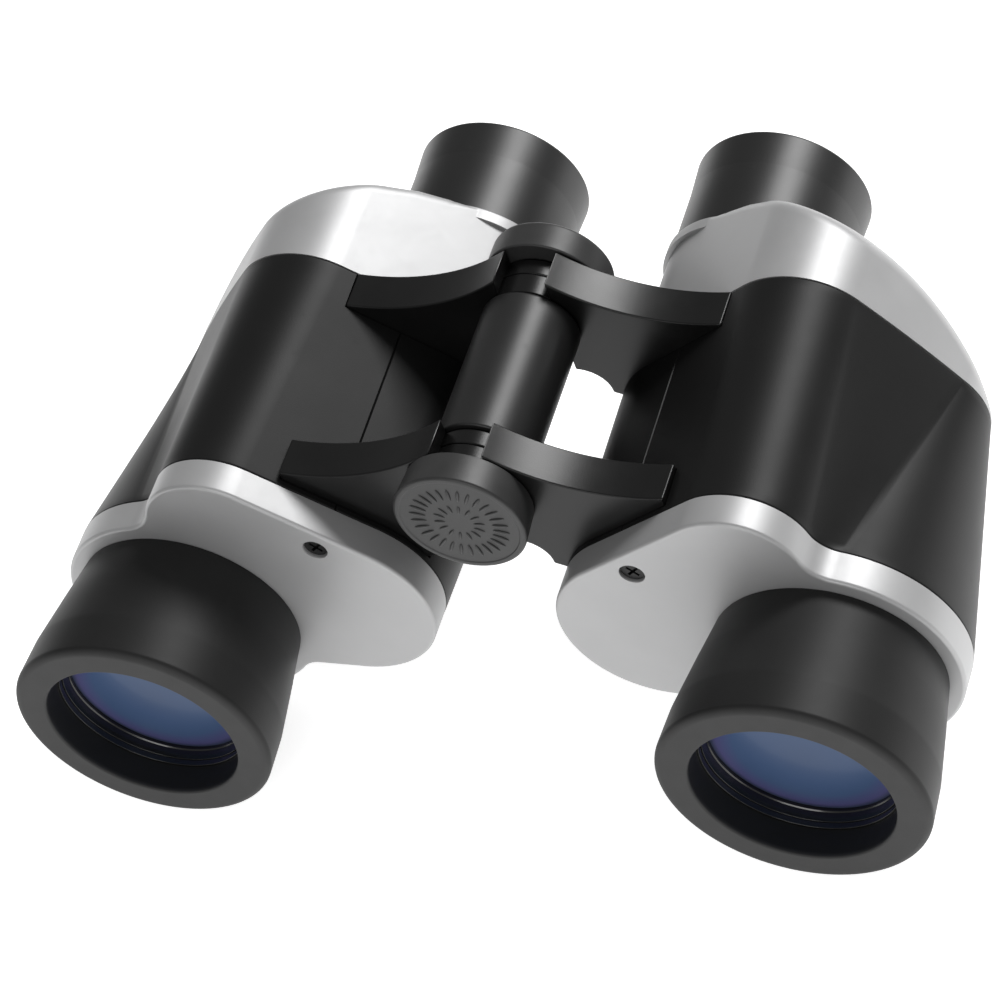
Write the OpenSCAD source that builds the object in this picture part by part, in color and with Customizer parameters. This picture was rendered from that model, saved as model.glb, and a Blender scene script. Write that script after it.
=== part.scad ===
// Porro-prism binoculars with fixed focus. Each half folds about a central hinge.
// X runs across the two barrels, +Y from the objectives to the eyecups, +Z up.
// The origin is under the middle of the object, on the surface it lies on.

/* [Optical axes] */
// Distance between the two objective axes
objective_spacing = 125.7; // [118:0.1:152]
// Distance between the two eyepiece axes as they lie
eyepiece_spacing = 58.2; // [54:0.1:70]
// Height of the eyepiece axes over the objective axes
eyepiece_rise = 6.7; // [4:0.1:10]
// Height of the hinge axis over the objective axes
hinge_rise = 31.2; // [28:0.1:38]

/* [Lengths along a barrel] */
// Length of the rubber hood in front of the front plate
hood_length = 29; // [24:0.5:36]
// Depth of the silver front plate
plate_depth = 6.5; // [5.5:0.1:8]
// Length of the covered body between the front plate and the rear cover
body_length = 50; // [42:0.5:60]
// Length from the rear cover's front edge to its eyepiece collar
cover_height = 26.8; // [22:0.1:32]
// Length of the eyecup
eyecup_length = 22.2; // [18:0.1:28]

/* [Objective] */
// Outer radius of the hood at its front rim
hood_rim_r = 25; // [23:0.1:30]
// Outer radius of the hood where it meets the front plate
hood_root_r = 21.5; // [21:0.1:24]
// Rounding of the hood's front rim
hood_round = 1.5; // [0.5:0.1:2]
// Radius of the opening in the hood
hood_bore_r = 18.6; // [17.8:0.1:19.4]
// Depth of the opening before the lens cell begins
hood_bore_depth = 6; // [4:0.1:8]
// Outer radius of the objective tube under the hood
tube_r = 20; // [19.6:0.1:20.8]
// Outer radius of the objective lens
lens_r = 18.1; // [17.5:0.1:18.4]
// Radius of the clear opening in the lens retaining ring
aperture_r = 17.4; // [16:0.1:17.5]
// Radius of the front plate round the objective
barrel_r = 24.4; // [23.5:0.1:29]

/* [Body shape] */
// Radius of the body round the eyepiece, at the front plate
inner_lobe_r = 19; // [17.5:0.1:22]
// Radius of the upper corner of the body, at the front plate
upper_lobe_r = 13.6; // [12.5:0.1:16]
// Radius of the body round the eyepiece, at the rear cover
rear_inner_r = 19.8; // [18.5:0.1:23]
// Radius of the upper corner of the body, at the rear cover
rear_upper_r = 15.7; // [14:0.1:18]
// Radius of the outer corner of the body, at the rear cover
rear_outer_r = 15.9; // [14.5:0.1:18]
// Radius of the hollow between the upper corner and the objective
upper_hollow_r = 7; // [5:0.1:9]
// Radius of the hollow under the body beside the objective
lower_hollow_r = 5; // [3:0.1:7]
// How far the sides of the body swell at the rear cover
rear_swell = 0.3; // [0.1:0.05:0.6]
// Radius of the domed back of the rear cover
dome_r = 60.6; // [52:0.1:75]

/* [Walls] */
// Thickness of the rubber covering
armour_t = 1.4; // [1:0.1:1.8]
// Wall of the cast body
wall = 2; // [1.6:0.1:2.4]
// Thickness of the front plate's face
plate_t = 2.5; // [2:0.1:3.2]
// Wall of the rear cover
cover_t = 2.2; // [1.6:0.1:2.6]
// Distance between the front plate and the prism shelf
shelf_setback = 30.5; // [28:0.5:34]
// Thickness of the prism shelf
shelf_t = 2.5; // [2:0.1:3]

/* [Prisms] */
// Width of a prism
prism_w = 20; // [16:0.1:21]
// Depth ground off the ridge of a prism
prism_flat = 1; // [0.5:0.1:2]
// Radius of each light window in the prism shelf
window_r = 8.6; // [7:0.1:9.5]
// Thickness of the prism clips
clip_t = 0.6; // [0.4:0.1:1]
// Width of the prism clips
clip_w = 5; // [3:0.1:8]

/* [Eyepiece] */
// Outer radius of the eyecup
eyecup_r = 17; // [16:0.1:19]
// Extra radius at the flared lip of the eyecup
eyecup_flare = 0.4; // [0:0.1:0.8]
// Rubber wall of the eyecup round its recess
eyecup_wall = 1.7; // [1.2:0.1:2.4]
// Depth of the recess inside the eyecup
eyecup_recess = 9.5; // [6:0.1:12]
// Radius of the collar on the rear cover, under the eyecup
collar_r = 17.8; // [17.4:0.1:20]
// Outer radius of the eyepiece barrel
eyepiece_r = 14; // [13:0.1:15]
// Radius of the eyepiece lenses
eye_lens_r = 11.6; // [10:0.1:12]

/* [Hinge] */
// Thickness of each hinge arm along the barrel
arm_t = 8; // [7:0.1:10]
// Distance from the hinge plane to the outer end of an arm
arm_reach = 37; // [32:0.1:40]
// Half of the gap between the two halves' arms
arm_gap = 5; // [4.5:0.1:6]
// Radius of the hollow upper face of an arm
arm_sweep_r = 43.5; // [40:0.5:50]
// Height of the lowest line of that face over the hinge axis
arm_dip = 2; // [1:0.1:3]
// Outer radius of the hinge knuckles
knuckle_r = 8.6; // [8:0.1:9.4]
// Distance from the front of an arm to the seam between its knuckles
knuckle_split = 4.6; // [3:0.1:5]
// Outer radius of the hinge tube
hinge_tube_r = 9.4; // [9:0.1:11]
// Wall of the hinge tube
hinge_tube_wall = 2.2; // [1.5:0.1:2.6]
// Radius of the hinge axle
axle_r = 5; // [4.2:0.1:5.6]
// Wall radius of the threaded tripod socket
socket_r = 2.55; // [2.4:0.05:3.2]
// Depth of the tripod socket
socket_depth = 12; // [8:0.5:16]
// Outer radius of the front cap
cap_r = 12.5; // [11.5:0.1:14]
// Length of the front cap
cap_length = 6.5; // [5.5:0.1:8]
// Outer radius of the rear cap
rear_cap_r = 11.8; // [11:0.1:14]
// Length of the rear cap
rear_cap_length = 6.2; // [5.5:0.1:8]

/* [Screws] */
// Radius of the cover screws' shanks
screw_r = 1.1; // [0.8:0.05:1.4]
// Radius of the cover screws' heads
screw_head_r = 2.2; // [1.8:0.1:2.6]
// Height of the cover screws' heads
screw_head_t = 1.8; // [1.4:0.1:2.2]

/* [Clearances] */
// Radial clearance of pieces that turn or slide on each other
run_fit = 0.05; // [0.02:0.01:0.1]
// Gap between fixed pieces that fit into each other
seat_fit = 0.05; // [0.02:0.01:0.15]
// Gap between faces of the two halves that move past each other
side_gap = 0.3; // [0.2:0.05:0.5]

/* [Hidden] */
$fn = 96;
eps = 0.01;
over = 1;

// Stations along the barrel, counted from the hood rims
plate_y = hood_length;
body_y = plate_y + plate_depth;
cover_y = body_y + body_length;
collar_y = cover_y + cover_height;
overall_length = collar_y + eyecup_length;
shelf_y = body_y + shelf_setback;
shell_inset = armour_t + wall;

// Axes of the right half, as [x, z] over the objective axes
objective = [objective_spacing / 2, 0];
eyepiece = [eyepiece_spacing / 2, eyepiece_rise];
hinge = [0, hinge_rise];

// Two prisms turn the light twice through a right angle, so the objective axis
// reaches the eyepiece axis in two equal steps that are square to each other.
fold_angle = atan2(eyepiece.y - objective.y, eyepiece.x - objective.x);
fold_step = norm(eyepiece - objective) / sqrt(2);
first_angle = fold_angle - 45;
second_angle = fold_angle + 45;
fold = objective + fold_step * unit(first_angle);

function unit(a) = [cos(a), sin(a)];

// ---- Outline of a half, as circles [x, z, radius] joined by tangent lines.
// A hollow between two circles is a circle with a negative radius.
inner_lobe = [eyepiece.x + 2.25, eyepiece.y - 1.85, inner_lobe_r];
upper_lobe = [fold.x + 0.7, fold.y + 4, upper_lobe_r];
front_lobe = [objective.x, objective.y, barrel_r];
upper_hollow = hollow(front_lobe, upper_lobe, upper_hollow_r);
lower_hollow = hollow_on_floor(front_lobe, inner_lobe.y - inner_lobe_r, lower_hollow_r);
rear_inner = [inner_lobe.x, inner_lobe.y, rear_inner_r];
rear_upper = [fold.x - 0.5, fold.y + 2.4, rear_upper_r];
rear_outer = [objective.x + 1.2, objective.y + 2.4, rear_outer_r];

// Centre of a hollow of radius r that touches circles p and q from outside
function hollow(p, q, r) =
  let (d = [q.x - p.x, q.y - p.y], dist = norm(d), a = p.z + r, b = q.z + r,
       along = (a * a - b * b + dist * dist) / (2 * dist),
       across = sqrt(a * a - along * along),
       u = d / dist)
  [p.x + along * u.x + across * u.y, p.y + along * u.y - across * u.x, -r];

// Centre of a hollow of radius r between circle p and a level line under the body
function hollow_on_floor(p, level, r) =
  let (drop = p.y - level + r)
  [p.x - sqrt(pow(p.z + r, 2) - drop * drop), level - r, -r];

// Direction of the outward normal where the outline leaves circle p for circle q
function leave(p, q) =
  let (d = [q.x - p.x, q.y - p.y], c = max(-1, min(1, (p.z - q.z) / norm(d))))
  atan2(d.y, d.x) - acos(c);

function on(c, a, inset) = [c.x, c.y] + (c.z - inset) * unit(a);
function above(a, b) = a < b ? above(a + 360, b) : (a - b > 360 ? above(a - 360, b) : a);
function below(a, b) = a > b ? below(a - 360, b) : (b - a > 360 ? below(a + 360, b) : a);
function arc(c, a, b, shares, inset) =
  let (end = c.z > 0 ? above(b, a) : below(b, a))
  [for (t = shares) on(c, a + (end - a) * t, inset)];
function between(p, q, t) = p + (q - p) * t;
// A side that swells a little between p and q, along its normal a
function side(p, q, shares, a) =
  [for (t = shares) between(p, q, t) + 4 * t * (1 - t) * rear_swell * unit(a)];

// Shares of an arc's length: with both ends, without its ends, without its last end
function whole(n) = [for (i = [0 : n]) i / n];
function inside(n) = [for (i = [1 : n - 1]) i / n];
function before_end(n) = [for (i = [0 : n - 1]) i / n];
lobe_steps = [32, 12, 24];
hollow_steps = 6;

function front_outline(inset = 0) =
  let (a = leave(lower_hollow, front_lobe), b = leave(front_lobe, upper_hollow),
       c = leave(upper_hollow, upper_lobe), d = leave(upper_lobe, inner_lobe),
       e = leave(inner_lobe, lower_hollow))
  concat(arc(front_lobe, a, b, whole(lobe_steps[0]), inset),
         arc(upper_hollow, b, c, inside(hollow_steps), inset),
         arc(upper_lobe, c, d, whole(lobe_steps[1]), inset),
         arc(inner_lobe, d, e, whole(lobe_steps[2]), inset),
         arc(lower_hollow, e, a, before_end(hollow_steps - 1), inset));

// The rear outline has no hollows: slightly swelled sides stand in their places
function rear_outline(inset = 0) =
  let (a = leave(rear_inner, rear_outer), b = leave(rear_outer, rear_upper),
       d = leave(rear_upper, rear_inner))
  concat(arc(rear_outer, a, b, whole(lobe_steps[0]), inset),
         side(on(rear_outer, b, inset), on(rear_upper, b, inset), inside(hollow_steps), b),
         arc(rear_upper, b, d, whole(lobe_steps[1]), inset),
         arc(rear_inner, d, a, whole(lobe_steps[2]), inset),
         side(on(rear_inner, a, inset), on(rear_outer, a, inset), inside(hollow_steps), a));

// Outline of the body at station y, between the front plate and the rear cover
function section(y, inset) =
  let (f = front_outline(inset), r = rear_outline(inset), t = (y - body_y) / body_length)
  [for (i = [0 : len(f) - 1]) f[i] + (r[i] - f[i]) * t];

// ---- Placing
module placed() { translate([0, -overall_length / 2, hood_rim_r]) children(); }
module right() { placed() children(); }
module left() { mirror([1, 0, 0]) placed() children(); }

// A flat outline [x, z] made solid from station y0 to station y1
module slab(y0, y1) { translate([0, y1, 0]) rotate([90, 0, 0]) linear_extrude(y1 - y0) children(); }
// A profile of [radius, station] points turned about the axis through [x, z]
module turned(axis) { translate([axis.x, 0, axis.y]) rotate([-90, 0, 0]) rotate_extrude() children(); }
module rod(axis, r, y0, y1) {
  translate([axis.x, y0, axis.y]) rotate([-90, 0, 0]) cylinder(r = r, h = y1 - y0);
}
module ring(axis, r, bore, y0, y1) {
  turned(axis) translate([bore, y0]) square([r - bore, y1 - y0]);
}

// The body's slanting skin between two stations. Its ends are fans of triangles round
// the objective axis, which sees the whole outline.
module skin(y0, y1, inset) {
  a = section(y0, inset);
  b = section(y1, inset);
  n = len(a);
  polyhedron(
    points = concat([for (p = a) [p.x, y0, p.y]], [for (p = b) [p.x, y1, p.y]],
                    [[objective.x, y0, objective.y], [objective.x, y1, objective.y]]),
    faces = concat([for (i = [0 : n - 1]) [2 * n, (i + 1) % n, i]],
                   [for (i = [0 : n - 1]) [2 * n + 1, n + i, n + (i + 1) % n]],
                   [for (i = [0 : n - 1]) [i, (i + 1) % n, n + i]],
                   [for (i = [0 : n - 1]) [(i + 1) % n, n + (i + 1) % n, n + i]]));
}

// ---- Hinge stations and arms
front_arm_y = body_y + 1.5;
rear_arm_y = cover_y - arm_t;
knuckle_gap = 0.1;
arm_stations = [front_arm_y, rear_arm_y];

// Side view of an arm: a hollow top, a square outer end and a web down to the body
web_top = 12.8;
web_round = 6;
web_drop = 20;
module arm_shape() {
  low = hinge.y + arm_dip;
  sweep_x = arm_reach - 5.5;
  corner = [arm_gap + 0.2, hinge.y - web_top - web_round];
  difference() {
    polygon(concat(
      [[arm_reach, low + 20], [arm_gap, low + 20], [arm_gap, hinge.y - web_top]],
      [for (a = [80 : -20 : 0]) corner + web_round * unit(a)],
      [[inner_lobe.x, inner_lobe.y], [upper_lobe.x - 9, upper_lobe.y - 3], [arm_reach, low - 4]]));
    translate([sweep_x, low + arm_sweep_r]) circle(arm_sweep_r, $fn = 180);
  }
}

// The half's own knuckle runs over [own0, own1] from the front of the arm
module arm(y, own0, own1) {
  other0 = own0 > 0 ? -eps : own1 + knuckle_gap;
  other1 = own0 > 0 ? own0 - knuckle_gap : arm_t + eps;
  difference() {
    union() {
      slab(y, y + arm_t) arm_shape();
      rod(hinge, knuckle_r, y + own0, y + own1);
    }
    rod(hinge, knuckle_r + side_gap, y + other0, y + other1);
  }
}

module arms(outer_knuckles) {
  split = [knuckle_split - knuckle_gap / 2, knuckle_split + knuckle_gap / 2];
  for (i = [0, 1]) {
    first = outer_knuckles ? i == 0 : i == 1;
    arm(arm_stations[i], first ? 0 : split[1], first ? split[0] : arm_t);
  }
}

// ---- Screw places on a half, as [x, z]. Each boss bites into the wall beside it.
boss_r = 3;
boss_bite = 0.5;
boss_inset = shell_inset + boss_r - boss_bite;
front_screw_edge = 4.7;
upper_edge = leave(upper_lobe, inner_lobe);
lower_edge = leave(rear_inner, rear_outer);
front_screw_at = between(on(upper_lobe, upper_edge, front_screw_edge),
                         on(inner_lobe, upper_edge, front_screw_edge), 0.66);
cover_screws_at = [
  between(on(rear_inner, lower_edge, boss_inset), on(rear_outer, lower_edge, boss_inset), 0.5),
  on(rear_outer, 0, boss_inset), on(rear_upper, 86, boss_inset)];
// The outer shelf screw stands further in, so its head clears the outer wall.
head_step = 1;
shelf_screws_at = [on_shelf(inner_lobe, rear_inner, 225, boss_inset),
                   on_shelf(inner_lobe, rear_inner, 280, boss_inset),
                   on_shelf(front_lobe, rear_outer, 8, boss_inset + head_step)];
function on_shelf(f, r, a, inset) =
  between(on(f, a, inset), on(r, a, inset), shelf_setback / body_length);

// ---- Cast body with its two hinge arms
ledge = 1.2;
ledge_t = 3;
module housing(outer_knuckles) {
  color("#34363a") difference() {
    union() {
      difference() {
        union() {
          skin(body_y, cover_y, armour_t);
          arms(outer_knuckles);
        }
        skin(body_y - over, shelf_y - ledge_t, shell_inset);
        skin(shelf_y - ledge_t - over, shelf_y + over, shell_inset + ledge);
        skin(shelf_y, cover_y + over, shell_inset);
      }
      intersection() {
        skin(body_y, cover_y, shell_inset - 0.5);
        union() {
          rod(front_screw_at, boss_r, body_y, body_y + 7);
          for (p = cover_screws_at) rod(p, boss_r, cover_y - 7, cover_y);
          for (p = shelf_screws_at) rod(p, boss_r, shelf_y - 7, shelf_y);
        }
      }
    }
    rod(front_screw_at, screw_r + seat_fit, body_y - eps, body_y + 6);
    for (p = cover_screws_at) rod(p, screw_r + seat_fit, cover_y - 6, cover_y + eps);
    for (p = shelf_screws_at) rod(p, screw_r + seat_fit, shelf_y - 6, shelf_y + eps);
    rod(hinge, axle_r + run_fit, front_arm_y - 1, cover_y + 1);
  }
}

// ---- Rubber covering, one closed sleeve cut out round the arms
module sleeve(y0, y1, inset) {
  rings = [section(y0, 0), section(y1, 0), section(y0, inset), section(y1, inset)];
  n = len(rings[0]);
  walls = [for (i = [0 : n - 1]) let (j = (i + 1) % n) each [
    [i, j, n + i], [j, n + j, n + i],
    [2 * n + i, 3 * n + i, 2 * n + j], [2 * n + j, 3 * n + i, 3 * n + j],
    [2 * n + i, 2 * n + j, j], [2 * n + i, j, i],
    [3 * n + i, n + i, n + j], [3 * n + i, n + j, 3 * n + j]]];
  polyhedron(points = [for (k = [0 : 3]) for (p = rings[k]) [p.x, k % 2 == 0 ? y0 : y1, p.y]],
             faces = walls);
}

module armour() {
  color("#1b1b1c") difference() {
    sleeve(body_y, cover_y, armour_t);
    for (y = arm_stations) {
      translate([0, y - seat_fit, hinge.y - web_drop])
        cube([arm_reach + seat_fit, arm_t + 2 * seat_fit, web_drop + 20]);
    }
  }
}

// ---- Silver front plate, a shallow tray with a bore for the objective tube
plate_wall = shell_inset;
plate_boss_r = tube_r + 2.2;
module front_plate() {
  color("#c9cacc") difference() {
    union() {
      slab(plate_y, plate_y + plate_t) polygon(front_outline());
      slab(plate_y, body_y) difference() {
        polygon(front_outline());
        polygon(front_outline(plate_wall));
      }
      intersection() {
        slab(plate_y, body_y) polygon(front_outline(0.5));
        union() {
          rod(objective, plate_boss_r, plate_y, body_y);
          rod(front_screw_at, boss_r + 0.4, plate_y, body_y);
        }
      }
    }
    rod(objective, tube_seat_r + seat_fit, plate_y - 1, body_y + 1);
    rod(front_screw_at, screw_head_r + 0.15, plate_y - 1, plate_y + screw_head_t + 0.6);
    rod(front_screw_at, screw_r + seat_fit, plate_y, body_y + 1);
  }
}

// ---- Screws, with a head, a shank and a cross recess, driven along +Y from the head
module screw(at, y, reach) {
  difference() {
    union() {
      rod(at, screw_head_r, y, y + screw_head_t);
      rod(at, screw_r, y + screw_head_t - eps, y + reach);
    }
    for (a = [45, 135]) {
      translate([at.x, y, at.y]) rotate([0, a, 0]) cube([screw_head_r * 1.3, 1.6, 0.55], center = true);
    }
  }
}
module rear_screw(at, y, reach) { translate([0, 2 * y, 0]) mirror([0, 1, 0]) screw(at, y, reach); }

module front_screw() { color("#141414") screw(front_screw_at, plate_y + 0.6, body_y - plate_y + 4.9); }

module shelf_screws() {
  color("#9a9a9a") for (p = shelf_screws_at) rear_screw(p, shelf_y + shelf_t + screw_head_t, 8.5);
}

module cover_screws() {
  color("#8e8e8e") for (p = cover_screws_at) {
    head_y = dome_y(norm(p - eyepiece)) - 1;
    rear_screw(p, head_y, head_y - cover_y + 5.5);
  }
}

// ---- Rubber hood: an outward taper, a rounded rim and a bore over the lens cell
module hood() {
  bulge = 0.75;
  mid_r = (hood_rim_r + hood_root_r) / 2 + bulge;
  color("#202021") turned(objective) difference() {
    union() {
      polygon([[hood_bore_r, 0], [hood_rim_r - hood_round, 0], [hood_rim_r, hood_round],
               [hood_rim_r - 0.6, hood_length * 0.31], [mid_r, hood_length * 0.62],
               [hood_root_r, hood_length], [hood_bore_r, hood_length]]);
      translate([hood_rim_r - hood_round, hood_round]) circle(hood_round);
    }
    translate([0, hood_bore_depth]) square([tube_r + seat_fit, hood_length]);
  }
}

// ---- Objective cell: tube, crown and flint lenses, and the ring that holds them
tube_seat_r = tube_r - 1;
cell_y = hood_bore_depth + 4;
lens_t = 5.6;
crown_t = 3.6;
lens_bulge = 1.3;
lens_seam = 0.9;
module objective_tube() {
  color("#161617") turned(objective) difference() {
    union() {
      translate([0, hood_bore_depth]) square([tube_r, plate_y - hood_bore_depth]);
      translate([0, plate_y - eps]) square([tube_seat_r, plate_depth + 2]);
    }
    translate([0, hood_bore_depth - 1]) square([lens_r + seat_fit, cell_y + lens_t - hood_bore_depth + 1]);
    polygon([[0, cell_y], [aperture_r - 0.4, cell_y], [aperture_r - 0.4, cell_y + lens_t + 2],
             [tube_seat_r - 2.2, body_y + 3], [0, body_y + 3]]);
  }
}

module objective_ring() {
  seat_y = cell_y - lens_bulge * (1 - pow(aperture_r / lens_r, 2)) - 0.05;
  color("#0e0e0f") turned(objective) polygon([
    [aperture_r + 0.3, hood_bore_depth + 1.2], [lens_r, hood_bore_depth + 1.2],
    [lens_r, seat_y], [aperture_r, seat_y]]);
}

// Radius of a shallow lens face that bulges by h over a lens of radius r
function bow(r, h) = (r * r + h * h) / (2 * h);

module objective_crown() {
  face = bow(lens_r, lens_bulge);
  seam = bow(lens_r, lens_seam);
  color("#7f9fd0") turned(objective) intersection() {
    translate([0, cell_y - lens_bulge]) square([lens_r, lens_bulge + crown_t]);
    translate([0, cell_y - lens_bulge + face]) circle(face, $fn = 200);
    translate([0, cell_y + crown_t - seam]) circle(seam, $fn = 200);
  }
}

module objective_flint() {
  seam = bow(lens_r, lens_seam);
  color("#a8bcdc") turned(objective) difference() {
    translate([0, cell_y + crown_t - lens_seam]) square([lens_r, lens_t - crown_t + lens_seam]);
    translate([0, cell_y + crown_t - seam + seat_fit]) circle(seam, $fn = 200);
  }
}

// ---- Prism shelf: a plate on the body's ledge, with a window at each axis
module prism_shelf() {
  color("#4a4c50") difference() {
    slab(shelf_y, shelf_y + shelf_t) polygon(section(shelf_y + shelf_t, shell_inset + 0.3));
    for (p = [objective, fold, eyepiece]) rod(p, window_r, shelf_y - 1, shelf_y + shelf_t + 1);
    for (p = shelf_screws_at) rod(p, screw_r + seat_fit, shelf_y - 1, shelf_y + shelf_t + 1);
  }
}

// A right-angle prism with round ends. Its long face is at y = 0 and its ridge at
// y = depth. It lies along angle a, centred halfway between two optical axes.
prism_length = fold_step + prism_w;
prism_depth = prism_length / 2;
module prism(centre, a) {
  translate([centre.x, 0, centre.y]) rotate([0, -a, 0]) intersection() {
    translate([0, 0, -prism_w / 2]) linear_extrude(prism_w) polygon([
      [-prism_length / 2, 0], [prism_length / 2, 0], [prism_flat, prism_depth - prism_flat],
      [-prism_flat, prism_depth - prism_flat]]);
    slab(0, prism_depth) union() {
      square([fold_step, prism_w], center = true);
      for (s = [-1, 1]) translate([s * fold_step / 2, 0]) circle(prism_w / 2);
    }
  }
}

// A spring strap over a prism's ridge, with a foot on the shelf at each side
module prism_clip(centre, a) {
  top = prism_depth - prism_flat;
  half = prism_w / 2 + 0.4;
  foot = 0.6;
  translate([centre.x, 0, centre.y]) rotate([0, -a, 0]) translate([-clip_w / 2, 0, 0])
    rotate([90, 0, 90]) linear_extrude(clip_w) polygon([
      [0, -half - clip_t - foot], [clip_t, -half - clip_t - foot], [clip_t, -half - clip_t],
      [top + clip_t, -half - clip_t], [top + clip_t, half + clip_t], [clip_t, half + clip_t],
      [clip_t, half + clip_t + foot], [0, half + clip_t + foot], [0, half],
      [top, half], [top, -half], [0, -half]]);
}

module rear_prism() {
  color("#dfe9f2") translate([0, shelf_y + shelf_t, 0]) prism((objective + fold) / 2, first_angle);
}
module front_prism() {
  color("#dfe9f2") translate([0, shelf_y, 0]) mirror([0, 1, 0]) prism((fold + eyepiece) / 2, second_angle);
}
module prism_clips() {
  color("#b9bcc0") {
    translate([0, shelf_y + shelf_t, 0]) prism_clip((objective + fold) / 2, first_angle);
    translate([0, shelf_y, 0]) mirror([0, 1, 0]) prism_clip((fold + eyepiece) / 2, second_angle);
  }
}

// ---- Silver rear cover: the rear outline carried back and cut by a dome centred
// on the eyepiece axis, with a low collar that the eyecup stands on
dome_centre_y = collar_y - sqrt(dome_r * dome_r - collar_r * collar_r);
function dome_y(r, t = 0) = dome_centre_y + sqrt(pow(dome_r - t, 2) - r * r);
lip_t = 1.2;
collar_step = 0.3;
module dome(inset, y0) {
  intersection() {
    slab(y0, collar_y - collar_step) polygon(rear_outline(inset));
    translate([eyepiece.x, dome_centre_y, eyepiece.y]) sphere(dome_r - inset, $fn = 200);
  }
}
module rear_cover() {
  color("#c9cacc") difference() {
    union() {
      difference() {
        union() {
          dome(0, cover_y);
          rod(eyepiece, collar_r, collar_y - 6, collar_y);
        }
        dome(cover_t, cover_y - eps);
      }
      slab(cover_y - 2, cover_y + 3) difference() {
        polygon(rear_outline(shell_inset + 0.35));
        polygon(rear_outline(shell_inset + 0.35 + lip_t));
      }
      intersection() {
        dome(cover_t - 0.5, cover_y);
        union() {
          for (p = cover_screws_at) rod(p, boss_r, cover_y, collar_y);
          ring(eyepiece, eyepiece_r + 2, eyepiece_r, collar_y - 8, collar_y);
        }
      }
    }
    rod(eyepiece, eyepiece_r + seat_fit, cover_y, collar_y + 2);
    for (p = cover_screws_at) {
      rod(p, screw_r + seat_fit, cover_y - 3, collar_y + 1);
      rod(p, screw_head_r + 0.15, dome_y(norm(p - eyepiece)) - 1 - screw_head_t, collar_y + 1);
      rod(p, boss_r + seat_fit, cover_y - 3, cover_y);
    }
  }
}

// ---- Eyepiece: barrel, field lens, field stop, eye lens and its ring
barrel_front_y = collar_y - 15;
barrel_end_y = overall_length - eyecup_recess;
eye_lens_y = barrel_end_y - 8;
eye_lens_t = 6;
field_lens_t = 3;
module eyepiece_barrel() {
  color("#161617") turned(eyepiece) difference() {
    union() {
      translate([0, barrel_front_y]) square([eyepiece_r, barrel_end_y - barrel_front_y]);
      translate([0, collar_y]) square([eyepiece_r + 1.6, 1.6]);
    }
    translate([0, barrel_front_y - 1]) square([eye_lens_r + seat_fit, 1 + field_lens_t + 3.5]);
    translate([0, barrel_front_y]) square([eye_lens_r - 1, barrel_end_y]);
    translate([0, eye_lens_y]) square([eye_lens_r + seat_fit, eyecup_recess]);
  }
}
module field_stop() {
  color("#0c0c0c") ring(eyepiece, eye_lens_r, eye_lens_r - 2.4, barrel_front_y + 0.4, barrel_front_y + 2);
}
module field_lens() {
  face = bow(eye_lens_r, 1.3);
  y = barrel_front_y + 3.5 - 0.5;
  color("#b9c9e6") turned(eyepiece) intersection() {
    translate([0, y - 1]) square([eye_lens_r, field_lens_t + 0.5]);
    translate([0, y - 1 + face]) circle(face, $fn = 200);
  }
}
module eye_lens() {
  face = bow(eye_lens_r, 1.6);
  color("#b9c9e6") turned(eyepiece) intersection() {
    translate([0, eye_lens_y]) square([eye_lens_r, eye_lens_t]);
    translate([0, eye_lens_y + eye_lens_t - face]) circle(face, $fn = 200);
  }
}
module eye_ring() {
  y = eye_lens_y + eye_lens_t - 1.6;
  color("#0e0e0f") turned(eyepiece) polygon([
    [eye_lens_r, y], [eye_lens_r, barrel_end_y], [eye_lens_r - 0.8, barrel_end_y],
    [eye_lens_r - 2.2, y + 1.3], [eye_lens_r - 2.2, y + 0.75]]);
}

// ---- Rubber eyecup with a flared lip and an open recess for the eye
module eyecup() {
  lip_r = eyecup_r + eyecup_flare;
  round_r = eyecup_wall / 2;
  color("#1e1e1f") turned(eyepiece) difference() {
    union() {
      polygon([[0, collar_y + eps], [eyecup_r, collar_y + eps], [eyecup_r, overall_length - 8],
               [lip_r, overall_length - round_r], [lip_r - 2 * round_r, overall_length - round_r],
               [0, overall_length - round_r]]);
      translate([lip_r - round_r, overall_length - round_r]) circle(round_r);
    }
    translate([0, barrel_end_y]) square([eyecup_r - eyecup_wall, eyecup_recess - 2]);
    polygon([[0, overall_length - 2.1], [eyecup_r - eyecup_wall, overall_length - 2.1],
             [lip_r - 2 * round_r, overall_length - round_r], [lip_r - 2 * round_r, overall_length + 1],
             [0, overall_length + 1]]);
    translate([0, collar_y - 1]) square([eyepiece_r + seat_fit, barrel_end_y - collar_y + 2]);
    translate([0, collar_y - 1]) square([eyepiece_r + 1.6 + seat_fit, 2.6 + seat_fit]);
  }
}

// ---- Hinge: an axle with the tripod socket in its front boss
cap_y = front_arm_y - side_gap - cap_length;
cap_face_t = 1.6;
seal_t = 0.8;
boss_front_y = cap_y + cap_face_t + seal_t;
axle_boss_r = 8;
washer_t = 0.5;
nut_y = cover_y + knuckle_gap / 2 + 0.8;
nut_t = 3.6;
nut_r = 6.5;
nut_thread_r = axle_r - 1.4;
module hinge_axle() {
  color("#8a8c90") difference() {
    union() {
      rod(hinge, axle_boss_r, boss_front_y, front_arm_y - washer_t);
      rod(hinge, axle_r, boss_front_y + eps, cover_y + knuckle_gap / 2);
      rod(hinge, nut_thread_r, cover_y, nut_y + nut_t);
    }
    rod(hinge, socket_r, boss_front_y - 1, boss_front_y + socket_depth);
  }
}
module front_washer() {
  color("#c8b070") ring(hinge, axle_boss_r, axle_r + seat_fit, front_arm_y - washer_t, front_arm_y - eps);
}
module tension_washer() {
  color("#c0c2c6") ring(hinge, 7.6, nut_thread_r + seat_fit, cover_y + knuckle_gap / 2, nut_y);
}
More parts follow.
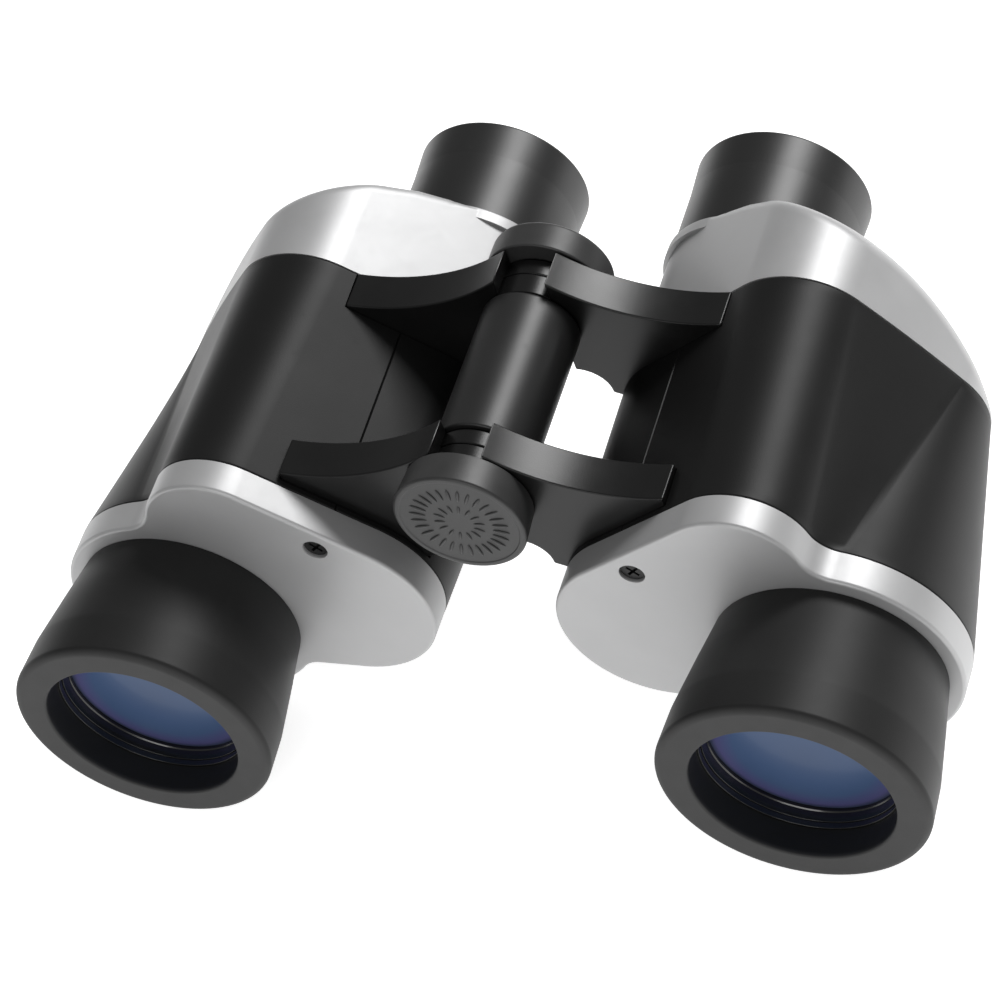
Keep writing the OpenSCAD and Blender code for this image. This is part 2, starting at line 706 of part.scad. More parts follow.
module hinge_nut() {
  color("#9fa1a5") difference() {
    ring(hinge, nut_r, nut_thread_r + seat_fit, nut_y, nut_y + nut_t);
    translate([hinge.x, nut_y + nut_t, hinge.y]) cube([2 * nut_r + 1, 1.6, 1.4], center = true);
  }
}
tube_y0 = front_arm_y + arm_t + side_gap;
tube_y1 = rear_arm_y - side_gap;
bush_length = 6;
module hinge_tube() {
  edge = 0.8;
  bore = hinge_tube_r - hinge_tube_wall;
  color("#242426") turned(hinge) polygon([
    [bore, tube_y0], [hinge_tube_r - edge / 2, tube_y0], [hinge_tube_r, tube_y0 + edge / 2],
    [hinge_tube_r, tube_y1 - edge], [hinge_tube_r - edge, tube_y1], [bore, tube_y1]]);
}
module hinge_bushes() {
  color("#d8d4c8") for (y = [tube_y0, tube_y1 - bush_length]) {
    ring(hinge, hinge_tube_r - hinge_tube_wall - seat_fit, axle_r + run_fit, y, y + bush_length);
  }
}
module rear_cap() {
  y0 = cover_y + 0.6;
  y1 = y0 + rear_cap_length;
  color("#202022") turned(hinge) difference() {
    polygon([[0, y0], [rear_cap_r - 0.4, y0], [rear_cap_r, y0 + 0.4], [rear_cap_r, y1 - 1],
             [rear_cap_r - 1, y1], [0, y1]]);
    translate([0, y0 - 1]) square([8, 2.4]);
    translate([0, y0 - 1]) square([nut_r + seat_fit, nut_y + nut_t + 0.3 - y0 + 1]);
  }
}
module cap_seal() { color("#303030") ring(hinge, 7.4, 4, cap_y + cap_face_t, boss_front_y - eps); }
module front_cap() {
  y1 = front_arm_y - side_gap;
  dish = 0.15;
  color("#3a3b3d") turned(hinge) difference() {
    polygon([[0, cap_y], [cap_r - 0.8, cap_y], [cap_r, cap_y + 0.8], [cap_r - 0.5, y1], [0, y1]]);
    translate([0, cap_y - 1]) square([cap_r - 1.3, 1 + dish]);
    translate([0, cap_y + cap_face_t]) square([axle_boss_r + run_fit, cap_length]);
  }
}

left() housing(true);  // left_housing
right() housing(false);  // right_housing
left() armour();  // left_armour
right() armour();  // right_armour
left() front_plate();  // left_front_plate
right() front_plate();  // right_front_plate
left() front_screw();  // left_front_screw
right() front_screw();  // right_front_screw
left() hood();  // left_hood
right() hood();  // right_hood
left() objective_tube();  // left_objective_tube
right() objective_tube();  // right_objective_tube
left() objective_crown();  // left_objective_crown
right() objective_crown();  // right_objective_crown
left() objective_flint();  // left_objective_flint
right() objective_flint();  // right_objective_flint
left() objective_ring();  // left_objective_ring
right() objective_ring();  // right_objective_ring
left() prism_shelf();  // left_prism_shelf
right() prism_shelf();  // right_prism_shelf
left() shelf_screws();  // left_shelf_screws
right() shelf_screws();  // right_shelf_screws
left() front_prism();  // left_front_prism
right() front_prism();  // right_front_prism
left() rear_prism();  // left_rear_prism
right() rear_prism();  // right_rear_prism
left() prism_clips();  // left_prism_clips
right() prism_clips();  // right_prism_clips
left() rear_cover();  // left_rear_cover
right() rear_cover();  // right_rear_cover
left() cover_screws();  // left_cover_screws
right() cover_screws();  // right_cover_screws
left() eyepiece_barrel();  // left_eyepiece_barrel
right() eyepiece_barrel();  // right_eyepiece_barrel
left() field_lens();  // left_field_lens
right() field_lens();  // right_field_lens
left() field_stop();  // left_field_stop
right() field_stop();  // right_field_stop
left() eye_lens();  // left_eye_lens
right() eye_lens();  // right_eye_lens
left() eye_ring();  // left_eye_ring
right() eye_ring();  // right_eye_ring
left() eyecup();  // left_eyecup
right() eyecup();  // right_eyecup
placed() hinge_axle();
placed() hinge_tube();
placed() hinge_bushes();
placed() front_washer();
placed() tension_washer();
placed() hinge_nut();
placed() rear_cap();
placed() cap_seal();
placed() front_cap();
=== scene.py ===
from math import acos, atan2, cos, pi, radians, sin, sqrt, tan

import bmesh
import bpy
from mathutils import Matrix, Vector


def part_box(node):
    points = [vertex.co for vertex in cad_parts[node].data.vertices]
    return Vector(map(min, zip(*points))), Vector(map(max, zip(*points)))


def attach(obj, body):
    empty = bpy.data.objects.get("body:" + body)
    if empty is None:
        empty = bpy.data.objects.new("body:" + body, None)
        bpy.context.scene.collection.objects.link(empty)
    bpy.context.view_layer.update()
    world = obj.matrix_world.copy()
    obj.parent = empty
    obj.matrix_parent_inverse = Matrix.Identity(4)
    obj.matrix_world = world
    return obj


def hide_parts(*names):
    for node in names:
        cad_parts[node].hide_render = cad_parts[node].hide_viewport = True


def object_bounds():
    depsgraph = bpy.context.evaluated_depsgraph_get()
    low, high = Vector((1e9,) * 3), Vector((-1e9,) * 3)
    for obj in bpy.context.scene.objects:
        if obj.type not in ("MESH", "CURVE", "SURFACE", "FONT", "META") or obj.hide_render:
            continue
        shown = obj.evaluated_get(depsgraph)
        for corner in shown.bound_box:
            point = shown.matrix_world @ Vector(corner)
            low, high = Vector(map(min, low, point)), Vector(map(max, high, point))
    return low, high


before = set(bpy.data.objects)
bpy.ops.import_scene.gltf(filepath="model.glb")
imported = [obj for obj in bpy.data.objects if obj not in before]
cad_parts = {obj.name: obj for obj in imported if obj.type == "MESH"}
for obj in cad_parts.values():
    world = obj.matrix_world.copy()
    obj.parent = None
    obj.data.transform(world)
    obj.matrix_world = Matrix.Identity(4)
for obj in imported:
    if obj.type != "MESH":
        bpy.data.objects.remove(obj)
cad_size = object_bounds()


# ---- Light table, softboxes and camera
# A pale table for small products that glows as painted light: a pool of white glow in its middle fades to
# dark grey farther out and washes out the object's shadow.
# The key softbox stands behind it to the right, so each dark tube shows one broad highlight, and a wide one
# in front fills the faces.
class Tone:
    """A shader socket that adds its Math nodes when numbers are worked with it."""

    def __init__(self, finish, socket):
        self.finish, self.socket = finish, socket

    def worked(self, operation, a, b):
        return self.finish.node("Math", {"operation": operation}, {0: a, 1: b})

    def __add__(self, other):
        return self.worked("ADD", self, other)

    def __radd__(self, other):
        return self.worked("ADD", other, self)

    def __sub__(self, other):
        return self.worked("SUBTRACT", self, other)

    def __rsub__(self, other):
        return self.worked("SUBTRACT", other, self)

    def __mul__(self, other):
        return self.worked("MULTIPLY", self, other)

    def __rmul__(self, other):
        return self.worked("MULTIPLY", other, self)

    def __truediv__(self, other):
        return self.worked("DIVIDE", self, other)

class Finish:
    """A material under the name of its finish, with one way to add a node to it."""

    def __init__(self, name, **settings):
        self.material = bpy.data.materials.new(name)
        self.material.use_nodes = True
        self.tree = self.material.node_tree
        self.shader = self.tree.nodes["Principled BSDF"]
        self.set(**settings)

    def node(self, kind, settings=None, sockets=None, out=0):
        made = self.tree.nodes.new("ShaderNode" + kind)
        for key, value in (settings or {}).items():
            if key == "stops":
                ramp = made.color_ramp
                while len(ramp.elements) < len(value):
                    ramp.elements.new(0.5)
                for element, (place, colour) in zip(ramp.elements, value):
                    element.position, element.color = place, colour
            else:
                setattr(made, key, value)
        for key, value in (sockets or {}).items():
            self.join(made.inputs[key], value)
        return Tone(self, made.outputs[out])

    def join(self, socket, value):
        if isinstance(value, Tone):
            self.tree.links.new(value.socket, socket)
        else:
            socket.default_value = value

    def set(self, **settings):
        for key, value in settings.items():
            self.join(self.shader.inputs[key.replace("_", " ")], value)

    def place(self, centre=(0, 0, 0)):
        """Object coordinates measured from a centre."""
        here = self.node("TexCoord", out="Object")
        return self.node("Mapping", {"vector_type": "POINT"},
                         {"Vector": here, "Location": [-c for c in centre]})

    def noise(self, size, detail=3, rough=0.55):
        return self.node("TexNoise", {}, {"Vector": self.place(), "Scale": 1 / size, "Detail": detail,
                                          "Roughness": rough}, out="Fac")

    def ramp(self, factor, *stops):
        return self.node("ValToRGB", {"stops": stops}, {"Fac": factor}, out="Color")

    def level(self, factor, low, high):
        """A soft step from 0 at low to 1 at high."""
        return self.node("MapRange", {"interpolation_type": "SMOOTHSTEP"},
                         {"Value": factor, "From Min": low, "From Max": high}, out="Result")

    def blend(self, factor, first, second):
        return self.node("Mix", {"data_type": "RGBA"}, {0: factor, 6: first, 7: second}, out=2)

    def relief(self, height, depth, strength):
        return self.node("Bump", {}, {"Height": height, "Distance": depth, "Strength": strength},
                         out="Normal")


def grey(srgb, tint=(1, 1, 1)):
    """A display grey from 0 to 255 as a linear colour, with a slight tint."""
    value = srgb / 255
    value = value / 12.92 if value <= 0.04045 else ((value + 0.055) / 1.055) ** 2.4
    return (value * tint[0], value * tint[1], value * tint[2], 1)


bench_reach = 6
glow_start, glow_end = 0.22, 0.55
# Painted light: the table emits white round its middle and dark grey farther out, so no shadow shows under
# the object.
bench_finish = Finish("table_acrylic", Roughness=0.9, Emission_Strength=0.8)
from_middle = bench_finish.node("VectorMath", {"operation": "LENGTH"}, {0: bench_finish.place()}, out="Value")
bench_finish.set(
    Base_Color=bench_finish.blend(bench_finish.noise(0.4, 2), grey(248), grey(252)),
    Emission_Color=bench_finish.blend(bench_finish.level(from_middle, glow_start, glow_end),
                                      grey(255), grey(30)))
bench_mesh = bpy.data.meshes.new("bench")
bench_corners = ((-1, -1), (1, -1), (1, 1), (-1, 1))
bench_mesh.from_pydata([(x * bench_reach, y * bench_reach, 0) for x, y in bench_corners], [], [(0, 1, 2, 3)])
bench = bpy.data.objects.new("bench", bench_mesh)
bench.data.materials.append(bench_finish.material)
bpy.context.scene.collection.objects.link(bench)
bench_gap = 0.0003
bench.location.z = cad_size[0][2] - bench_gap

room = bpy.data.worlds.new("room")
room.use_nodes = True
room.node_tree.nodes["Background"].inputs["Color"].default_value = (1, 1, 1, 1)
room.node_tree.nodes["Background"].inputs["Strength"].default_value = 0.24
bpy.context.scene.world = room


def softbox(name, watts, size, place):
    """A rectangular area light that faces the middle of the object."""
    lamp = bpy.data.lights.new(name, "AREA")
    lamp.energy, lamp.shape, lamp.size, lamp.size_y = watts, "RECTANGLE", size[0], size[1]
    lit = bpy.data.objects.new(name, lamp)
    lit.location = place
    lit.rotation_euler = (Vector((0, 0, 0.03)) - Vector(place)).to_track_quat("-Z", "Y").to_euler()
    bpy.context.scene.collection.objects.link(lit)


softbox("back_right_softbox", 12, (0.42, 0.6), (0.42, 0.85, 0.95))
softbox("front_softbox", 5, (0.9, 0.5), (0.1, -1.3, 0.75))
bpy.context.scene.view_settings.view_transform = "Standard"

lens = bpy.data.cameras.new("view")
lens.sensor_width, lens.lens, lens.clip_start = 36, 146.892, 0.01
view = bpy.data.objects.new("view", lens)
azimuth, elevation, roll = radians(33.25), radians(47.47), radians(-21.80)
distance = 0.7601
aim_at = Vector((-0.00738, -0.01069, 0.02951))
back = Vector((sin(azimuth) * cos(elevation), -cos(azimuth) * cos(elevation), sin(elevation)))
level_right = Vector((cos(azimuth), sin(azimuth), 0))
level_up = back.cross(level_right)
right_hand = level_right * cos(roll) + level_up * sin(roll)
head_up = back.cross(right_hand)
view.matrix_world = Matrix.Translation(aim_at + distance * back) @ Matrix(
    (right_hand, head_up, back)).transposed().to_4x4()
bpy.context.scene.collection.objects.link(view)
bpy.context.scene.camera = view


# ---- Silver front plates
# Each is a shallow die-cast tray in satin silver paint. It closes the front of the
# prism body, carries the objective tube, and is held by the tube and one screw.
def box(node):
    """The corners of a CAD node's box in millimetres."""
    low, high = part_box(node)
    return low * 1000, high * 1000


hood_low, hood_high = box("right_hood")
rim_y = hood_low.y
axis_z = (hood_low.z + hood_high.z) / 2
objective = Vector(((hood_low.x + hood_high.x) / 2, 0))
cup_low, cup_high = box("right_eyecup")
eyepiece = Vector(((cup_low.x + cup_high.x) / 2, (cup_low.z + cup_high.z) / 2 - axis_z))
tube_low, tube_high = box("hinge_tube")
hinge = Vector((0, (tube_low.z + tube_high.z) / 2 - axis_z))
plate_y = box("right_front_plate")[0].y - rim_y
body_y = box("right_armour")[0].y - rim_y
cover_y = box("right_armour")[1].y - rim_y
collar_y = box("right_rear_cover")[1].y - rim_y
length = cup_high.y - rim_y


def along(angle):
    return Vector((cos(angle), sin(angle)))


step_angle = atan2(eyepiece.y, eyepiece.x - objective.x) - pi / 4
fold = objective + (eyepiece - objective).length / sqrt(2) * along(step_angle)

# circles of the body's outline as (centre, radius); a hollow has a negative radius
inner_lobe = (eyepiece + Vector((2.25, -1.85)), 19)
upper_lobe = (fold + Vector((0.7, 4)), 13.6)
front_lobe = (objective, 24.4)
rear_inner = (inner_lobe[0], 19.8)
rear_upper = (fold + Vector((-0.5, 2.4)), 15.7)
rear_outer = (objective + Vector((1.2, 2.4)), 15.9)


def upper_hollow(radius):
    """A hollow that touches the front lobe and the upper lobe from above."""
    (p, p_radius), (q, q_radius) = front_lobe, upper_lobe
    across = q - p
    a, b, d = p_radius + radius, q_radius + radius, across.length
    reach = (a * a - b * b + d * d) / (2 * d)
    side = sqrt(a * a - reach * reach)
    across.normalize()
    return (p + reach * across + side * Vector((across.y, -across.x)), -radius)


def lower_hollow(radius):
    """A hollow that touches the front lobe and the level of the inner lobe's foot."""
    drop = front_lobe[0].y - (inner_lobe[0].y - inner_lobe[1]) + radius
    x = front_lobe[0].x - sqrt((front_lobe[1] + radius) ** 2 - drop * drop)
    return (Vector((x, front_lobe[0].y - drop)), -radius)


hollows = (upper_hollow(7), lower_hollow(5))


def leave(p, q):
    """Direction of the outward normal where the outline leaves circle p for circle q."""
    d = q[0] - p[0]
    return atan2(d.y, d.x) - acos(max(-1, min(1, (p[1] - q[1]) / d.length)))


def on(circle, angle, inset=0):
    return circle[0] + (circle[1] - inset) * along(angle)


def arc(circle, start, end, steps, inset):
    while circle[1] > 0 and end < start:
        end += 2 * pi
    while circle[1] > 0 and end > start + 2 * pi:
        end -= 2 * pi
    while circle[1] < 0 and end > start:
        end -= 2 * pi
    while circle[1] < 0 and end < start - 2 * pi:
        end += 2 * pi
    return [on(circle, start + (end - start) * i / steps, inset) for i in range(steps + 1)]


lobe_steps = (72, 30, 56)
hollow_steps = 14
seam_x, seam_half, seam_reach = 27.7, 0.22, 0.9
swell = 1.2


def straight(p, q, seam):
    """Points inside the flat side towards the hinge. They close up beside the covering's seam."""
    t = (p.x - seam_x) / (p.x - q.x)
    width = (q - p).length
    close = [t + step / width for step in (-seam_reach, -seam_half, 0, seam_half, seam_reach)]
    points = [p.lerp(q, share) for share in [t * 0.5] + close + [t + (1 - t) * 0.5]]
    if seam:
        inward = Vector((-(q - p).y, (q - p).x)).normalized()
        points[3] = points[3] + seam * inward
    return points


def front_outline(inset=0, seam=0):
    high, low = hollows
    a, b, c = leave(low, front_lobe), leave(front_lobe, high), leave(high, upper_lobe)
    d, e = leave(upper_lobe, inner_lobe), leave(inner_lobe, low)
    return (arc(front_lobe, a, b, lobe_steps[0], inset)
            + arc(high, b, c, hollow_steps, inset)[1:-1]
            + arc(upper_lobe, c, d, lobe_steps[1], inset)
            + straight(on(upper_lobe, d, inset), on(inner_lobe, d, inset), seam)
            + arc(inner_lobe, d, e, lobe_steps[2], inset)
            + arc(low, e, a, hollow_steps, inset)[1:-1])


def swelled(p, q, angle, steps):
    """Points inside a side that swells outwards a little between p and q."""
    return [p.lerp(q, i / steps) + swell * i / steps * (1 - i / steps) * along(angle)
            for i in range(1, steps)]


def rear_outline(inset=0, seam=0):
    a, b = leave(rear_inner, rear_outer), leave(rear_outer, rear_upper)
    d = leave(rear_upper, rear_inner)
    return (arc(rear_outer, a, b, lobe_steps[0], inset)
            + swelled(on(rear_outer, b, inset), on(rear_upper, b, inset), b, hollow_steps)
            + arc(rear_upper, b, d, lobe_steps[1], inset)
            + straight(on(rear_upper, d, inset), on(rear_inner, d, inset), seam)
            + arc(rear_inner, d, a, lobe_steps[2], inset)
            + swelled(on(rear_inner, a, inset), on(rear_outer, a, inset), a, hollow_steps))


def section(y, inset=0, seam=0):
    """The body's outline at a station between its front and rear ends."""
    t = (y - body_y) / (cover_y - body_y)
    return [f.lerp(r, t) for f, r in zip(front_outline(inset, seam), rear_outline(inset, seam))]


def ring(points, y):
    return [(p.x, y, p.y) for p in points]


def circle_ring(points, centre, radius, y):
    """A ring round a bore whose points lie at the same angles as an outline's."""
    return ring([centre + radius * (p - centre).normalized() for p in points], y)


def shell(rings, closed=True):
    """A skin over rings of equal count. A closed one joins its last ring to its first."""
    n = len(rings[0])
    corners = [corner for loop in rings for corner in loop]
    faces = []
    for k in range(len(rings) if closed else len(rings) - 1):
        a, b = k * n, (k + 1) % len(rings) * n
        faces += [(a + i, a + (i + 1) % n, b + (i + 1) % n, b + i) for i in range(n)]
    if not closed:
        faces += [tuple(range(n)), tuple(range(len(corners) - 1, len(corners) - 1 - n, -1))]
    return corners, faces


def turned(centre, profile, steps=128):
    """A closed profile of (radius, station) points turned about an axis along the barrel."""
    turns = [along(2 * pi * i / steps) for i in range(steps)]
    return shell([[(centre.x + r * t.x, y, centre.y + r * t.y) for t in turns] for r, y in profile])


def rounded(profile, steps=5):
    """Fillets the corners of a closed profile given as (radius, station, fillet)."""
    made = []
    for i, (r, y, fillet) in enumerate(profile):
        corner = Vector((r, y))
        if not fillet:
            made.append((r, y))
            continue
        before = (Vector(profile[i - 1][:2]) - corner).normalized()
        after = (Vector(profile[(i + 1) % len(profile)][:2]) - corner).normalized()
        half = before.angle(after) / 2
        cut = fillet / tan(half)
        centre = corner + (before + after).normalized() * fillet / sin(half)
        start, end = corner + before * cut - centre, corner + after * cut - centre
        sweep = start.angle_signed(end)
        for k in range(steps + 1):
            turn = Matrix.Rotation(-sweep * k / steps, 2)
            point = centre + turn @ start
            made.append((point.x, point.y))
    return made


def solid(corners, faces):
    """A bmesh in millimetres over the hood rims and objective axes, with its faces outward."""
    bm = bmesh.new()
    made = [bm.verts.new(corner) for corner in corners]
    for face in faces:
        if len({tuple(made[i].co) for i in face}) > 2:
            bm.faces.new([made[i] for i in face])
    bmesh.ops.remove_doubles(bm, verts=bm.verts, dist=1e-4)
    bmesh.ops.dissolve_degenerate(bm, edges=bm.edges, dist=1e-5)
    bmesh.ops.recalc_face_normals(bm, faces=bm.faces)
    mesh = bpy.data.meshes.new("blank")
    bm.to_mesh(mesh)
    bm.free()
    return mesh


def carved(mesh, tools, operation="DIFFERENCE"):
    """Cuts or joins blanks with exact booleans."""
    work = bpy.data.objects.new("work", mesh)
    bpy.context.scene.collection.objects.link(work)
    others = []
    for tool in tools:
        other = bpy.data.objects.new("tool", tool)
        bpy.context.scene.collection.objects.link(other)
        cut = work.modifiers.new("cut", "BOOLEAN")
        cut.operation, cut.solver, cut.object = operation, "EXACT", other
        others.append(other)
    result = plain(work)
    for other in others + [work]:
        bpy.data.objects.remove(other)
    return result


def plain(work):
    """The evaluated mesh of an object with its modifiers."""
    seen = work.evaluated_get(bpy.context.evaluated_depsgraph_get())
    return bpy.data.meshes.new_from_object(seen)


def joined(meshes):
    bm = bmesh.new()
    for mesh in meshes:
        bm.from_mesh(mesh)
    mesh = bpy.data.meshes.new("joined")
    bm.to_mesh(mesh)
    bm.free()
    return mesh


def piece(name, mesh, finish, body, nodes=(), sharp=38, weighted=True):
    """Sets a blank in its place in metres, mirrored for the left half, and gives it to its body."""
    bm = bmesh.new()
    bm.from_mesh(mesh)
    side = -1 if name.startswith("left") else 1
    for vert in bm.verts:
        x, y, z = vert.co
        vert.co = (side * x / 1000, (y + rim_y) / 1000, (z + axis_z) / 1000)
    if side < 0:
        bmesh.ops.reverse_faces(bm, faces=bm.faces)
    done = bpy.data.meshes.new(name)
    bm.to_mesh(done)
    bm.free()
    done.shade_smooth()
    done.set_sharp_from_angle(angle=radians(sharp))
    made = bpy.data.objects.new(name, done)
    bpy.context.scene.collection.objects.link(made)
    if weighted:
        weigh = made.modifiers.new("weigh", "WEIGHTED_NORMAL")
        weigh.keep_sharp, weigh.weight = True, 80
        settled = plain(made)
        made.modifiers.clear()
        made.data = settled
        settled.name = name
    made.data.materials.clear()
    made.data.materials.append(finish.material)
    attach(made, body)
    if nodes:
        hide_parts(*nodes)
    return made


silver = Finish("silver_paint", Metallic=0.42, Coat_Weight=0.12, Coat_Roughness=0.3, Coat_IOR=1.45)
flake = silver.noise(0.00009, 2)
cloudy = silver.noise(0.009, 3)
worn = silver.noise(0.0016, 4, 0.6)
silver.set(
    Base_Color=silver.blend(flake * 0.35 + cloudy * 0.5, grey(180, (1, 1.003, 1.01)),
                            grey(198, (1, 1, 1.006))),
    Roughness=0.39 + 0.1 * cloudy + 0.06 * worn,
    Normal=silver.relief(silver.noise(0.00016, 3), 0.00002, 0.35))

plate_bore, plate_t, plate_wall, edge = 19.1, 2.5, 3.4, 0.75
fit = 0.05
screw_in = 4.7
screw_side = leave(upper_lobe, inner_lobe)
plate_screw = on(upper_lobe, screw_side, screw_in).lerp(on(inner_lobe, screw_side, screw_in), 0.66)
face_line = front_outline()
front_rings = [ring(face_line, y) for y in (body_y - fit, body_y - 1, plate_y + 2)]
front_rings += [ring(front_outline(edge * (1 - cos(a))), plate_y + edge * (1 - sin(a)))
                for a in [radians(k * 15) for k in range(7)]]
front_rings.append(ring(front_outline(edge + 1.2), plate_y))
front_rings += [circle_ring(face_line, objective, radius, plate_y + depth) for radius, depth in (
    (21, 0), (plate_bore + 0.3, 0), (plate_bore, 0.3), (plate_bore, plate_t))]
front_rings += [ring(front_outline(plate_wall + 0.2), plate_y + plate_t),
                ring(front_outline(plate_wall), plate_y + plate_t + 0.3),
                ring(front_outline(plate_wall), body_y - fit)]
plate_blank = solid(*shell(front_rings))
screw_well = solid(*turned(plate_screw, rounded([
    (0, plate_y - 1, 0), (2.75, plate_y - 1, 0), (2.35, plate_y + 0.25, 0.2), (2.35, plate_y + 2.4, 0),
    (1.15, plate_y + 2.4, 0), (1.15, body_y, 0), (0, body_y, 0)]), 48))
plate_mesh = carved(plate_blank, [screw_well])
for half in ("left", "right"):
    piece(half + "_front_plate_shell", plate_mesh, silver, half + "_half",
          [half + "_front_plate"])


# ---- Front plate screws
# One small cross-recessed screw in each plate, sunk a little under the face. It is
# pressed steel, blackened, and keeps its exact shape.
black_screw = Finish("black_screw", Metallic=0.4, Roughness=0.42)
black_screw.set(Base_Color=black_screw.blend(black_screw.noise(0.0006), grey(14), grey(34)),
                Normal=black_screw.relief(black_screw.noise(0.0002), 0.00002, 0.5))


# ---- Rubber hoods
# A moulded rubber sleeve pulled over each objective tube. It widens towards its
# thick rounded rim; its front face is painted paler as painted light, and is duller than its side.
hood_rubber = Finish("hood_rubber", Specular_IOR_Level=0.22)
depth_in = hood_rubber.node("SeparateXYZ", {}, {0: hood_rubber.place()}, out="Y") - rim_y / 1000
# Painted light: the front face gets a paler grey that stands in for the light falling on it; it is also made
# rougher.
face_mask = 1 - hood_rubber.level(depth_in, 0.0002, 0.0012)
hood_rubber.set(
    Base_Color=hood_rubber.blend(
        face_mask * (0.7 + 0.3 * hood_rubber.noise(0.004, 3)),
        hood_rubber.blend(hood_rubber.noise(0.012, 3), grey(29), grey(38)), grey(66)),
    Roughness=0.45 + 0.12 * face_mask + 0.07 * hood_rubber.noise(0.009, 3),
    Normal=hood_rubber.relief(hood_rubber.noise(0.00022, 2), 0.00003, 0.45))
hood_profile = rounded([
    (18.6, 0, 0.45), (24.95, 0, 1.5), (24.45, plate_y * 0.31, 12), (22.9, plate_y * 0.69, 14),
    (21.5, plate_y - fit, 0.2), (20.05, plate_y - fit, 0), (20.05, 6.1, 0), (18.6, 6.1, 0.15)], 8)
hood_mesh = solid(*turned(objective, hood_profile, 160))
for half in ("left", "right"):
    piece(half + "_hood_sleeve", hood_mesh, hood_rubber, half + "_half", [half + "_hood"])


# ---- Objective cells
# A gloss black tube that holds the doublet, the stepped retaining ring in front of it,
# and the blue coated front lens.
cell_black = Finish("cell_black", Roughness=0.2, Coat_Weight=0.5, Coat_Roughness=0.1)
cell_black.set(Base_Color=cell_black.blend(cell_black.noise(0.002), grey(14), grey(24)),
               Roughness=0.2 + 0.08 * cell_black.noise(0.004),
               Normal=cell_black.relief(cell_black.noise(0.0004), 0.00001, 0.3))
cell_mesh = solid(*turned(objective, rounded([
    (20, 6, 0.1), (20, plate_y, 0), (19, plate_y, 0), (19, body_y + 2, 0.2), (16.8, body_y + 2, 0.1),
    (17, 17.6, 0), (17, 15.7, 0), (18.15, 15.7, 0), (18.15, 6, 0.1)]), 128))
lens_y, lens_r, lens_bulge = 10.0, 18.1, 1.3
ring_profile = rounded([
    (lens_r, 7.2, 0.1), (lens_r, lens_y - 0.15, 0), (17.4, lens_y - 0.15, 0.1), (17.45, 9.2, 0.1),
    (17.7, 9.0, 0.1), (17.75, 8.0, 0.1), (17.95, 7.2, 0.1)], 4)
ring_mesh = solid(*turned(objective, ring_profile, 128))
for half in ("left", "right"):
    piece(half + "_cell_tube", cell_mesh, cell_black, half + "_half",
          [half + "_objective_tube"])
    piece(half + "_lens_ring", ring_mesh, cell_black, half + "_half",
          [half + "_objective_ring"])


def lens_finish(side):
    """Blue coated glass, with a violet painted reflection towards the upper edge of the lens."""
    finish = Finish("coated_glass_" + side, Coat_Weight=0.1, Coat_Roughness=0.1, Specular_IOR_Level=0.25)
    sign = -1 if side == "left" else 1
    at = finish.place((sign * objective.x / 1000, (rim_y + lens_y) / 1000, axis_z / 1000))
    reach = finish.node("VectorMath", {"operation": "LENGTH"}, {0: at}, out="Value") / (lens_r / 1000)
    tilt = finish.node("SeparateXYZ", {}, {0: at}, out="Z") / (lens_r / 1000)
    deep = finish.ramp(reach, (0.0, grey(90, (0.52, 0.88, 1.75))), (0.72, grey(98, (0.5, 0.88, 1.8))),
                       (0.9, grey(98, (0.8, 0.78, 2.0))), (1.0, grey(60, (0.5, 1.0, 0.9))))
    # Painted reflection: violet laid towards the lens's upper edge, where the coating's reflection shows.
    painted_violet_reflection = finish.level(tilt + 0.25 * reach, 0.35, 1.15)
    finish.set(Base_Color=finish.blend(painted_violet_reflection * 0.7, deep, grey(84, (1.1, 0.72, 1.9))),
               Roughness=0.32 + 0.05 * finish.noise(0.004, 2))
    return finish


def cap_height(r):
    """Height of the lens's front face over its edge, at a distance r from its axis."""
    sphere_r = (lens_r ** 2 + lens_bulge ** 2) / (2 * lens_bulge)
    return sqrt(max(sphere_r ** 2 - r * r, 0)) - (sphere_r - lens_bulge)


crown_profile = [(lens_r * k / 10, lens_y - cap_height(lens_r * k / 10)) for k in range(11)]
crown_profile += [(lens_r, lens_y + 3.6), (9, lens_y + 3.2), (0, lens_y + 2.9)]
crown_mesh = solid(*turned(objective, crown_profile, 96))
for half in ("left", "right"):
    piece(half + "_crown_lens", crown_mesh, lens_finish(half), half + "_half",
          [half + "_objective_crown"], weighted=False)


# ---- Rubber covering
# A thin moulded rubber jacket glued round each prism body. It is cut out round the
# hinge arms, and its two ends meet in a seam on the side towards the hinge.
def rubber(name, dark, light, rough, sheen=0.5):
    """Dark rubber with a fine grain and faint scuffs."""
    finish = Finish(name, Specular_IOR_Level=sheen)
    fine, broad = finish.noise(0.00022, 2), finish.noise(0.012, 3)
    scuff = finish.noise(0.0035, 5, 0.65)
    marks = finish.level(scuff, 0.6, 0.78)
    finish.set(Base_Color=finish.blend(broad * 0.7 + marks * 0.25, grey(dark), grey(light)),
               Roughness=rough + 0.07 * broad + 0.05 * marks,
               Normal=finish.relief(fine, 0.00003, 0.45))
    return finish


